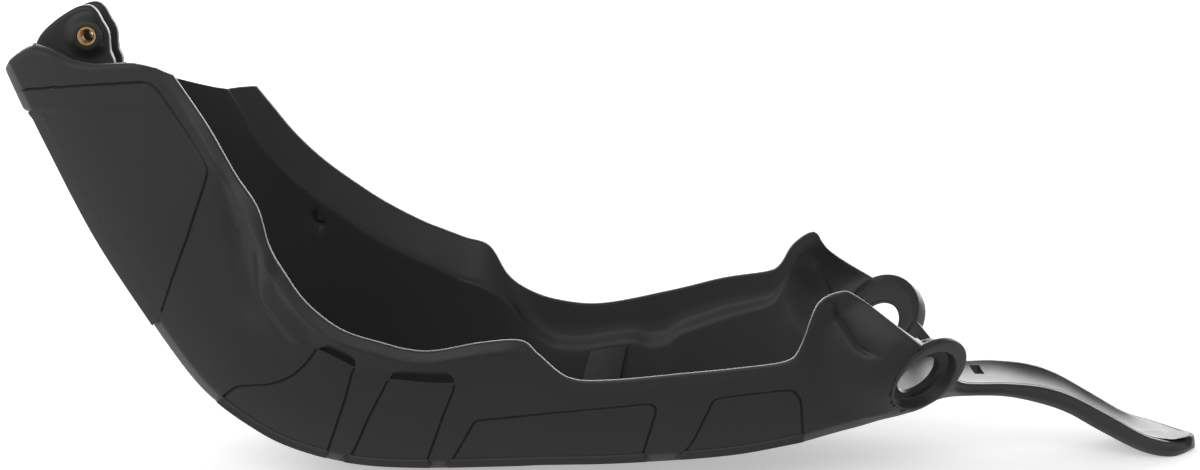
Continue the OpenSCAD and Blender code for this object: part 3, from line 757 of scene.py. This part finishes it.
rim = rim_of(triangles)
on_edge = (np.abs(sigma) > 3.999) | (run < 1e-4) | (run > LAST - 1e-4)
outside = on_edge[rim].all(1)
ids, rings = half_round(rim[outside])
outer[ids], inner[ids] = rings[0], rings[-1]
total = len(flat)
slot_of = np.full(total, -1)
slot_of[ids] = np.arange(len(ids))
levels = [np.arange(total)]
levels += [2 * total + k * len(ids) + slot_of for k in range(EDGE_PARTS - 1)]
levels.append(np.arange(total) + total)
vertices = np.concatenate([outer, inner] + rings[1:-1])
faces = [triangles[:, ::-1], triangles + total]
for low, high in zip(levels[:-1], levels[1:]):
    a, b = rim[outside].T
    faces += [np.stack([low[a], low[b], high[b]], 1), np.stack([low[a], high[b], high[a]], 1)]
# Where a rounded edge meets a straight wall, a fan fills the half disc between them.
starts, ends = np.setdiff1d(*rim[outside].T), np.setdiff1d(*rim[outside].T[::-1])
for corner, turn in [(c, 1) for c in starts] + [(c, -1) for c in ends]:
    arc = [level[corner] for level in levels][::turn]
    faces.append(np.array([[arc[0], arc[k], arc[k + 1]] for k in range(1, len(arc) - 1)]))
a, b = rim[~outside].T
faces += [np.stack([a, b, b + total], 1), np.stack([a, b + total, a + total], 1)]
shell = (vertices, np.concatenate(faces))
print("shell:", len(vertices), "points,", len(shell[1]), "triangles")

# %% Check that a surface is closed and faces outwards
def tidy(vertices, faces):
    """Drop unused points; turn the faces over if the volume they enclose is negative."""
    used = np.unique(faces)
    renumber = np.full(len(vertices), -1)
    renumber[used] = np.arange(len(used))
    vertices, faces = vertices[used], renumber[faces]
    a, b, c = (vertices[faces[:, k]] for k in range(3))
    volume = np.einsum("ij,ij->", a, np.cross(b, c)) / 6
    return vertices, faces if volume > 0 else faces[:, ::-1], abs(volume)


def open_edges(faces):
    """How many edges don't belong to exactly two triangles: 0 for a closed surface."""
    pairs = np.sort(np.concatenate([faces[:, [0, 1]], faces[:, [1, 2]], faces[:, [2, 0]]]), 1)
    _, number = np.unique(pairs[:, 0] * 10_000_000 + pairs[:, 1], return_counts=True)
    return int((number != 2).sum())


shell_v, shell_f, volume = tidy(*shell)
print("shell volume", round(volume / 1000), "cm3, open edges", open_edges(shell_f))

# %% [markdown]
# A boss is a thick stepped ring. Such a round form is a profile turned about an axis: the profile is a
# row of (radius, height) points, and the second parameter is the angle. Corners of the profile are
# eased first, so that each edge catches a thin line of light.

# %% Turned forms
def parabola(start, corner, end, t):
    """start (1 - t)^2 + 2 corner t (1 - t) + end t^2: leaves and arrives in line with the corner."""
    return start * (1 - t) ** 2 + corner * 2 * t * (1 - t) + end * t**2


def eased_profile(corners, radius, parts=3):
    """Cut each corner of a closed profile back by radius and round it with a quadratic curve."""
    corners = np.array(corners, float)
    rounded = []
    for k, corner in enumerate(corners):
        back, on = corners[k - 1] - corner, corners[(k + 1) % len(corners)] - corner
        cut_back = min(radius, 0.4 * np.linalg.norm(back), 0.4 * np.linalg.norm(on))
        start = corner + back / np.linalg.norm(back) * cut_back
        end = corner + on / np.linalg.norm(on) * cut_back
        rounded.append(parabola(start, corner, end, np.linspace(0, 1, parts + 1)[:, None]))
    return np.concatenate(rounded)


def grid_faces(rows, cols, close_rows=False, close_cols=False):
    """Two triangles for each cell of a grid numbered row by row, wrapping round where it closes."""
    tall, wide = rows if close_rows else rows - 1, cols if close_cols else cols - 1
    i, j = np.meshgrid(np.arange(tall), np.arange(wide), indexing="ij")
    a, b = i * cols + j, i * cols + (j + 1) % cols
    c, d = (i + 1) % rows * cols + (j + 1) % cols, (i + 1) % rows * cols + j
    return np.concatenate([np.stack([a, b, c], -1).reshape(-1, 3), np.stack([a, c, d], -1).reshape(-1, 3)])


def turned(profile, centre, axis, steps=128):
    """Centre + axis * height + radius * (cos a, sin a) in the plane across the axis."""
    axis = unit(np.array(axis, float))
    first = unit(np.cross(axis, [0.0, 0.0, 1.0]))
    second = np.cross(axis, first)
    angle = np.linspace(0, 2 * math.pi, steps, endpoint=False)[:, None, None]
    r, z = profile[None, :, 0:1], profile[None, :, 1:2]
    place = centre + axis * z + r * (first * np.cos(angle) + second * np.sin(angle))
    return place.reshape(-1, 3), grid_faces(steps, len(profile), True, True)


# The dish in the boss sits low and forward in its face, so each circle has its own centre: radius and
# height, then how far the centre lies towards the tail and down in the boss's own face.
DISH = [(12.0, -12, 1.0, 6.4), (12.0, -8.4, 1.0, 6.4), (13.2, -7.6, 0.6, 6.0), (17.4, -5.2, -1.3, 2.8),
        (18.7, 0, -1.4, 2.6)]
BODY = {NEAR: [(22.9, 0, 0, 0), (22.9, -3, 0, 0), (19.2, -9, 0, 3.0), (19.0, -12, 0, 3.6)],
        FAR: [(22.9, 0, 0, 0), (22.7, -10.2, 0, 0), (20.0, -12, 0, 2.4)]}


def boss(side, steps=160):
    """A turned ring whose circles are not concentric: the hole and the dish lie lower than the rim."""
    corners = np.array(DISH + BODY[side])
    profile = eased_profile(corners[:, :2], 0.8)
    place, faces = turned(profile, *boss_place(side), steps)
    tailward, down = face_ways(side)
    shift = np.tile(np.repeat(corners[:, 2:], len(profile) // len(corners), axis=0), (steps, 1))
    return tidy(place + shift[:, :1] * tailward + shift[:, 1:] * down, faces)


boss_parts = [boss(side) for side in (NEAR, FAR)]
print("boss volume", round(boss_parts[0][2]), "mm3, open edges", open_edges(boss_parts[0][1]))

# %% [markdown]
# A front ear is a flat plate with rounded edges and a low cone round its hole. Seen from its own side it
# is a disc of rays from the hole to the outline, and the height over the plate depends on how far along
# the ray a point lies. The same grid, turned over, makes the inner face.

# %% The front ears
EAR_OUTLINE = np.array([
    [-306, 203], [-299.5, 215.5], [-295.5, 223.5], [-287.5, 231], [-277, 237.5], [-270, 238.7],
    [-265.8, 235.7], [-263, 230.5], [-260, 224.5], [-259.3, 215], [-257.5, 207], [-264, 193],
    [-278, 183], [-291, 181]], float)
EAR_HOLE = np.array([-270.5, 223.0])
EAR_FACE, EAR_THICK, EAR_BOSS = 16.5, 8.0, 4.0
EAR_EDGE, EAR_BORE, CONE_R, CONE_WIDTH = 2.2, 4.05, 7.6, 5.4
INSERT_R, INSERT_LENGTH = 5.0, 11.0


def ear(side, steps=120):
    """Rays at even angles from the hole. Along a ray: hole wall, cone, plate, rounded edge, and back.
    Each ring of the disc is a radius and a height over the plate."""
    n = len(EAR_OUTLINE)
    k = np.linspace(0, n, 1200, endpoint=False)
    i, t = k.astype(int), (k % 1)[:, None]
    before, a, b, after = (EAR_OUTLINE[(i + j) % n] for j in (-1, 0, 1, 2))
    ray = cubic(a, b, (b - before) / 2, (after - a) / 2, t) - EAR_HOLE
    angle, reach = np.arctan2(ray[:, 1], ray[:, 0]), np.linalg.norm(ray, axis=1)
    order = np.argsort(angle)
    even = np.linspace(-math.pi, math.pi, steps, endpoint=False)
    flat_to = np.interp(even, angle[order], reach[order], period=2 * math.pi)[:, None] - EAR_EDGE
    mouth, foot, back = INSERT_R - 0.02, EAR_BOSS - 0.35, EAR_BOSS - INSERT_LENGTH - 0.01
    rings = [(mouth, EAR_BOSS - 0.5), (INSERT_R + 0.4, EAR_BOSS), (6.9, EAR_BOSS), (CONE_R, foot)]
    for share in np.linspace(0.08, 1, 12):
        height = foot * (1 - share) ** 1.7 * np.clip((flat_to - CONE_R) / 4, 0, 1)
        rings.append((np.minimum(CONE_R + share * CONE_WIDTH, flat_to - 0.6 + 0.04 * share), height))
    for share in (0.3, 0.65, 1):
        rings.append((np.minimum(13, flat_to - 0.56) * (1 - share) + flat_to * share, 0))
    for a in np.linspace(0, math.pi / 2, 6)[1:]:
        rings.append((flat_to + EAR_EDGE * math.sin(a), -EAR_EDGE * (1 - math.cos(a))))
    for a in np.linspace(math.pi / 2, math.pi, 6)[:-1]:
        rings.append((flat_to + EAR_EDGE * math.sin(a), -EAR_THICK + EAR_EDGE * (1 + math.cos(a))))
    for share in (0, 0.5, 1):
        rings.append((flat_to * (1 - share) + 4.6 * share, -EAR_THICK))
    rings += [(EAR_BORE, -EAR_THICK + 0.5), (EAR_BORE, back), (mouth, back)]
    r, h = (np.concatenate([value + 0 * flat_to for value in column], 1) for column in zip(*rings))
    x, z = EAR_HOLE[0] + r * np.cos(even)[:, None], EAR_HOLE[1] + r * np.sin(even)[:, None]
    place = np.stack([(x - MIDDLE) * ALONG, side * (EAR_FACE + h), z * UP], -1)
    return place.reshape(-1, 3), grid_faces(steps, r.shape[1], True, True)


ear_parts = [tidy(*ear(side)) for side in (NEAR, FAR)]
print("ear volume", round(ear_parts[0][2]), "mm3, open edges", open_edges(ear_parts[0][1]))

# %% [markdown]
# Below each panel the left wall ends in a skirt that stands out a millimetre, and a flat strip runs up
# the inside of the right wall. Both are bars: a small rounded profile carried along a line.

# %% Bars along the wall
def bar(rings):
    """Join rows of points ring by ring and close the two ends with fans from their centres."""
    rows, cols = rings.shape[:2]
    ends = np.stack([rings[0].mean(0), rings[-1].mean(0)])
    j = np.arange(cols)
    first = np.stack([np.full(cols, rows * cols), (j + 1) % cols, j], 1)
    end_row = (rows - 1) * cols
    final = np.stack([np.full(cols, rows * cols + 1), end_row + j, end_row + (j + 1) % cols], 1)
    faces = np.concatenate([grid_faces(rows, cols, False, True), first, final])
    return tidy(np.concatenate([rings.reshape(-1, 3), ends]), faces)


def rounded_section(a, b, c, d, radius):
    """A four-cornered profile in space with eased corners, for every row at once."""
    corners = [a, b, c, d]
    result = []
    for k in range(4):
        corner, back, on = corners[k], corners[k - 1] - corners[k], corners[(k + 1) % 4] - corners[k]
        start, end = corner + unit(back) * radius, corner + unit(on) * radius
        result += [parabola(start, corner, end, t) for t in (0, 0.33, 0.67, 1)]
    return np.stack(result, 1)


# First and last station of each skirt; the front one is flush with its wall.
SKIRTS = ((5.04, 7.95), (8.5, 10.05), (10.48, 15.46), (16.04, 18.89))
FLUSH_SKIRT = (0.7, 3.08)
SKIRT_RISE, SKIRT_PROUD = 0.35, 0.8
STRIP_FOOT, STRIP_HEAD, STRIP_THICK, STRIP_BED = (14.34, 15.18), (14.72, 15.35), 2.0, 0.8


def skirt(first, final, flush=False):
    """Corners: inside the wall, inside the floor, the hem and the top, in that order. Its hidden
    corners reach further along than the seen ones, so that both ends are slanted. A flush one carries
    the wall on: hem = low + slope of the wall times its run-out."""
    t = np.linspace(0, 1, max(8, int((final - first) * 12)))
    v = first + (final - first) * t
    hem_run, hidden = v - 0.06 * (1 - t) + 0.03 * t, v - 0.24 * (1 - t) + 0.14 * t
    if flush:
        hem_run, hidden = v, v
    foot, edge = skin(v, -2.0), skin(hidden, -1.0)
    if flush:
        high, low = skin(v, -2.25), skin(v, -1.0)
        below, above = (low - foot)[:, ::2], (foot - high)[:, ::2]
        run_out = np.linalg.norm(below, axis=1) / np.linalg.norm(above, axis=1)
        hem = low * [1, 0, 1] + [0, 1, 0] * (foot + (foot - high) * run_out[:, None])
        proud = skin(v, -2.06) - [0, 0.06, 0]
    else:
        hem, proud = skin(hem_run, -1 - SKIRT_RISE), foot + [0, -SKIRT_PROUD, 0.4]
        hem[:, 1] = proud[:, 1]
    in_wall, in_floor = skin(hidden, -2.0) + [0, WALL / 2, 1.8], edge + [0, WALL / 2, WALL / 4]
    return bar(rounded_section(in_wall, in_floor, hem, proud, 0.9))


def strip():
    """Corners bedded in the wall and proud of it, at both edges of the strip, from foot to head."""
    t = np.linspace(0.02, 0.9, 24)
    a, b = (skin(foot + (head - foot) * t, 2 + t, 1.0) for foot, head in zip(STRIP_FOOT, STRIP_HEAD))
    bed = np.array([0, STRIP_BED, 0])
    proud = np.array([0, -1.0, 0]) * (STRIP_THICK + 2.5 * (0.9 - t))[:, None]
    return bar(rounded_section(b + bed, b + proud, a + proud, a + bed, 0.35))


bar_parts = [skirt(*span) for span in SKIRTS] + [skirt(*FLUSH_SKIRT, flush=True), strip()]
print("bars:", [round(p[2]) for p in bar_parts], "mm3")

# %% [markdown]
# All these closed forms are one moulding, so they go into one mesh. The object stays at the origin and
# its place is in its points, in metres. Faces are smooth, but an edge sharper than 35 degrees stays.

# %% Put the moulding together
def add_piece(name, parts, body="root", sharp=35):
    """Stack closed parts into one mesh, in metres, with smooth shading."""
    vertices, faces, count = [], [], 0
    for part in parts:
        vertices.append(part[0] * MM)
        faces.append(part[1] + count)
        count += len(part[0])
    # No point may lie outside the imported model's own box, less a hundredth of a millimetre.
    low, high = np.array(cad_box[0]) + 1e-5, np.array(cad_box[1]) - 1e-5
    vertices, faces = np.clip(np.concatenate(vertices), low, high), np.concatenate(faces)
    mesh = bpy.data.meshes.new(name)
    mesh.from_pydata(vertices.tolist(), [], faces.tolist())
    mesh.shade_smooth()
    mesh.set_sharp_from_angle(angle=math.radians(sharp))
    piece = bpy.data.objects.new(name, mesh)
    bpy.context.scene.collection.objects.link(piece)
    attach(piece, body)
    print(name, len(mesh.polygons), "triangles")
    return piece


plate = add_piece("skid_plate", [(shell_v, shell_f)] + boss_parts + ear_parts + bar_parts)
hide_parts("plate")

# %% [markdown]
# The brass inserts are turned parts too. Real ones have a chamfered mouth and a thread, and at this size
# the thread can be plain rings: from outside nobody sees that it doesn't climb.

# %% The brass inserts
THREAD_R, THREAD_DEPTH, PITCH = 4.0, 0.55, 1.25


def insert_profile():
    """Outside with chamfers, then a zigzag thread between the two mouths."""
    top, bottom = EAR_BOSS, EAR_BOSS - INSERT_LENGTH
    outside = [(THREAD_R + 0.1, bottom), (INSERT_R - 0.3, bottom), (INSERT_R, bottom + 0.4),
               (INSERT_R, top - 0.3), (INSERT_R - 0.25, top), (THREAD_R + 0.1, top)]
    turns = int((INSERT_LENGTH - 0.8) / PITCH)
    thread, crest_r = [], THREAD_R - THREAD_DEPTH
    for k in range(turns):
        high = top - 0.5 - k * PITCH
        thread += [(THREAD_R, high), (crest_r, high - 0.45 * PITCH), (crest_r, high - 0.55 * PITCH)]
    return np.array(outside + thread + [(THREAD_R, top - 0.5 - turns * PITCH)], float)


for name, side in (("insert_left", NEAR), ("insert_right", FAR)):
    centre = np.array([(EAR_HOLE[0] - MIDDLE) * ALONG, side * EAR_FACE, EAR_HOLE[1] * UP])
    form = tidy(*turned(insert_profile(), centre, (0, side, 0), 96))
    piece = add_piece("brass_" + name, [form], sharp=25)
    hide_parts(name)

# %% [markdown]
# Materials are small formulas. Writing them with plus and times signs needs one small class that wraps
# a socket and makes a Math node for each sign. All coordinates are Object coordinates in metres, so
# a texture sits still on the moulding from every side.

# %% Formulas for materials
class Value:
    """A socket in a node tree. a + b, 1 + a and 2 * a add Math nodes."""

    def __init__(self, tree, socket):
        """Keep the tree, in which new nodes go, and the socket that gives this value."""
        self.tree, self.socket = tree, socket

    def node(self, kind, settings=None, **inputs):
        """Add a node, set its settings, link or set its inputs by name, and return its first output."""
        made = self.tree.nodes.new(kind)
        for name, value in (settings or {}).items():
            setattr(made, name, value)
        for name, value in inputs.items():
            self.put(value, made.inputs[name.replace("_", " ")])
        return Value(self.tree, made.outputs[0])

    def put(self, value, socket):
        """Link a value to a socket, or set the socket to a plain number."""
        if isinstance(value, Value):
            self.tree.links.new(value.socket, socket)
        else:
            socket.default_value = value

    def math(self, operation, *values):
        """Add a Math node for two values."""
        made = self.tree.nodes.new("ShaderNodeMath")
        made.operation = operation
        for value, socket in zip(values, made.inputs):
            self.put(value, socket)
        return Value(self.tree, made.outputs[0])

    def __add__(self, other):
        """a + b"""
        return self.math("ADD", self, other)

    def __radd__(self, other):
        """1 + a"""
        return self.math("ADD", other, self)

    def __rmul__(self, other):
        """2 * a"""
        return self.math("MULTIPLY", other, self)

    def mix(self, dark, light):
        """A colour between two, with this value as the factor."""
        made = self.tree.nodes.new("ShaderNodeMix")
        made.data_type = "RGBA"
        self.put(self, made.inputs["Factor"])
        made.inputs["A"].default_value, made.inputs["B"].default_value = (*dark, 1), (*light, 1)
        return Value(self.tree, made.outputs["Result"])


def material(name, constants):
    """A new material with its shader and the Object coordinates."""
    made = bpy.data.materials.new(name)
    made.use_nodes = True
    shader = made.node_tree.nodes["Principled BSDF"]
    for socket, value in constants.items():
        shader.inputs[socket].default_value = value
    place = made.node_tree.nodes.new("ShaderNodeTexCoord").outputs["Object"]
    return made, Value(made.node_tree, place), shader


def noise(place, scale, detail):
    """Soft noise from 0 to 1, with so many cells to a metre and so many finer layers over them."""
    return place.node("ShaderNodeTexNoise", Vector=place, Scale=scale, Detail=detail, Roughness=0.5)


def bump(place, height, distance, strength):
    """Lean the surface as a relief of this height would, with the distance in metres."""
    return place.node("ShaderNodeBump", Height=height, Distance=distance, Strength=strength)


print("one class and three helpers")

# %% [markdown]
# The moulding is black plastic with a fine even grain from the mould. It is dark in itself: what one
# sees is mostly a blurred reflection of the bright surroundings. Faces seen from the side therefore look
# charcoal, and a face that is nearly edge-on turns almost white. A slow change of roughness keeps large
# areas from looking drawn with a ruler.

# %% Black plastic
plastic, place, shader = material("black_plastic", {"IOR": 1.34})
grain = noise(place, 2600, 2.0)
clouds = noise(place, 14, 3.0)
fine = noise(place, 420, 2.0)
place.put(clouds.mix((0.0265, 0.0265, 0.0272), (0.0305, 0.0305, 0.0312)), shader.inputs["Base Color"])
place.put(0.38 + 0.07 * clouds + 0.05 * fine, shader.inputs["Roughness"])
place.put(bump(place, grain + 0.6 * fine, 0.00005, 0.35), shader.inputs["Normal"])
plate.data.materials.append(plastic)
print(len(plastic.node_tree.nodes), "nodes")

# %% [markdown]
# Brass is a metal, so its colour is the colour of its reflection. Turning leaves fine rings, which a
# little roughness stands for, and handling dulls it in patches.

# %% Brass
brass, place, shader = material("brass", {"Metallic": 1.0})
patches = noise(place, 900, 2.0)
place.put(patches.mix((0.62, 0.42, 0.17), (0.86, 0.64, 0.32)), shader.inputs["Base Color"])
place.put(0.2 + 0.14 * patches, shader.inputs["Roughness"])
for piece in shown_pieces():
    if piece != plate:
        piece.data.materials.append(brass)
print(len(brass.node_tree.nodes), "nodes")

# %% [markdown]
# The floor starts right under the lowest points and is large enough to fill the picture. It isn't one
# plain tone. Under and behind the plate it is pale and gives a little light of its own. In front of the
# plate it is mid-grey, and the change lies 0.2 to 0.05 m in front of the middle line, just below the
# frame of the photo's view, so that only other views show it. The near wall mirrors what stands in
# front, and its even dark tone in the photo suggests a dim studio there, which is a guess.

# %% Floor
GREY_AT, PALE_AT = -0.2, -0.05


def flat_sheet(name, corners):
    """One face with four corners."""
    mesh = bpy.data.meshes.new(name)
    mesh.from_pydata(corners, [], [(0, 1, 2, 3)])
    made = bpy.data.objects.new(name, mesh)
    bpy.context.scene.collection.objects.link(made)
    return made


floor = flat_sheet("floor", [(-9, -4, 0), (9, -4, 0), (9, 14, 0), (-9, 14, 0)])
pale, place, shader = material(
    "pale_floor", {"Specular IOR Level": 0.1, "Roughness": 0.8, "Emission Strength": 1.0})
split = place.tree.nodes.new("ShaderNodeSeparateXYZ")
place.put(place, split.inputs[0])
behind = place.node("ShaderNodeMapRange", {"interpolation_type": "SMOOTHSTEP"},
                    Value=Value(place.tree, split.outputs["Y"]), From_Min=GREY_AT, From_Max=PALE_AT)
# Painted shade and painted light: the mid-grey in front stands in for a dim studio that the near wall
# mirrors, and the pale part glows, which lifts the shadow under the plate.
place.put(behind.mix((0.4, 0.4, 0.4), (0.82, 0.82, 0.82)), shader.inputs["Base Color"])
place.put(behind.mix((0, 0, 0), (0.4, 0.4, 0.4)), shader.inputs["Emission Color"])
floor.data.materials.append(pale)
print("floor at z = 0")

# %% [markdown]
# Studio light comes from all round. A strong softbox above the far side draws the bright lines on the
# rims, one to the front left lights the panels, and a weak one stands off the front end of the plate.
# The camera stands where the photographer stood: a little above the plate, looking slightly down on
# its left side with a long lens.

# %% Light and camera
world = bpy.data.worlds.new("studio")
world.use_nodes = True
world.node_tree.nodes["Background"].inputs["Color"].default_value = (1, 1, 1, 1)
world.node_tree.nodes["Background"].inputs["Strength"].default_value = 0.4
bpy.context.scene.world = world


def softbox(name, place, target, size, power):
    """An area light at a place, turned so that its -Z points to the target."""
    light = bpy.data.lights.new(name, "AREA")
    light.shape, light.size, light.size_y, light.energy = "RECTANGLE", size[0], size[1], power
    made = bpy.data.objects.new(name, light)
    made.location = place
    aim = np.array(target, float) - np.array(place, float)
    away = -aim / np.linalg.norm(aim)
    made.rotation_euler = (math.acos(away[2]), 0, math.atan2(away[1], away[0]) + math.pi / 2)
    bpy.context.scene.collection.objects.link(made)
    return made


softbox("back_softbox", (0, 4.2, 1.3), (0, 0, 0.1), (8.0, 2.4), 320)
softbox("left_softbox", (-2.4, 0.3, 0.8), (0, 0, 0.1), (2.4, 1.4), 8)
softbox("front_softbox", (-1.2, -2.4, 1.7), (0, 0, 0.1), (4.4, 2.2), 60)
lens = bpy.data.cameras.new("camera")
lens.lens, lens.sensor_width, lens.sensor_fit = 81.0, 36.0, "HORIZONTAL"
lens.clip_start, lens.clip_end = 0.05, 60
camera = bpy.data.objects.new("camera", lens)
camera.location = (-0.0063, -1.422, 0.347)
camera.rotation_euler = (math.radians(90 - 9.26), 0, 0)
bpy.context.scene.collection.objects.link(camera)
bpy.context.scene.camera = camera
bpy.context.scene.view_settings.view_transform = "Standard"
print("camera at", [round(v, 4) for v in camera.location])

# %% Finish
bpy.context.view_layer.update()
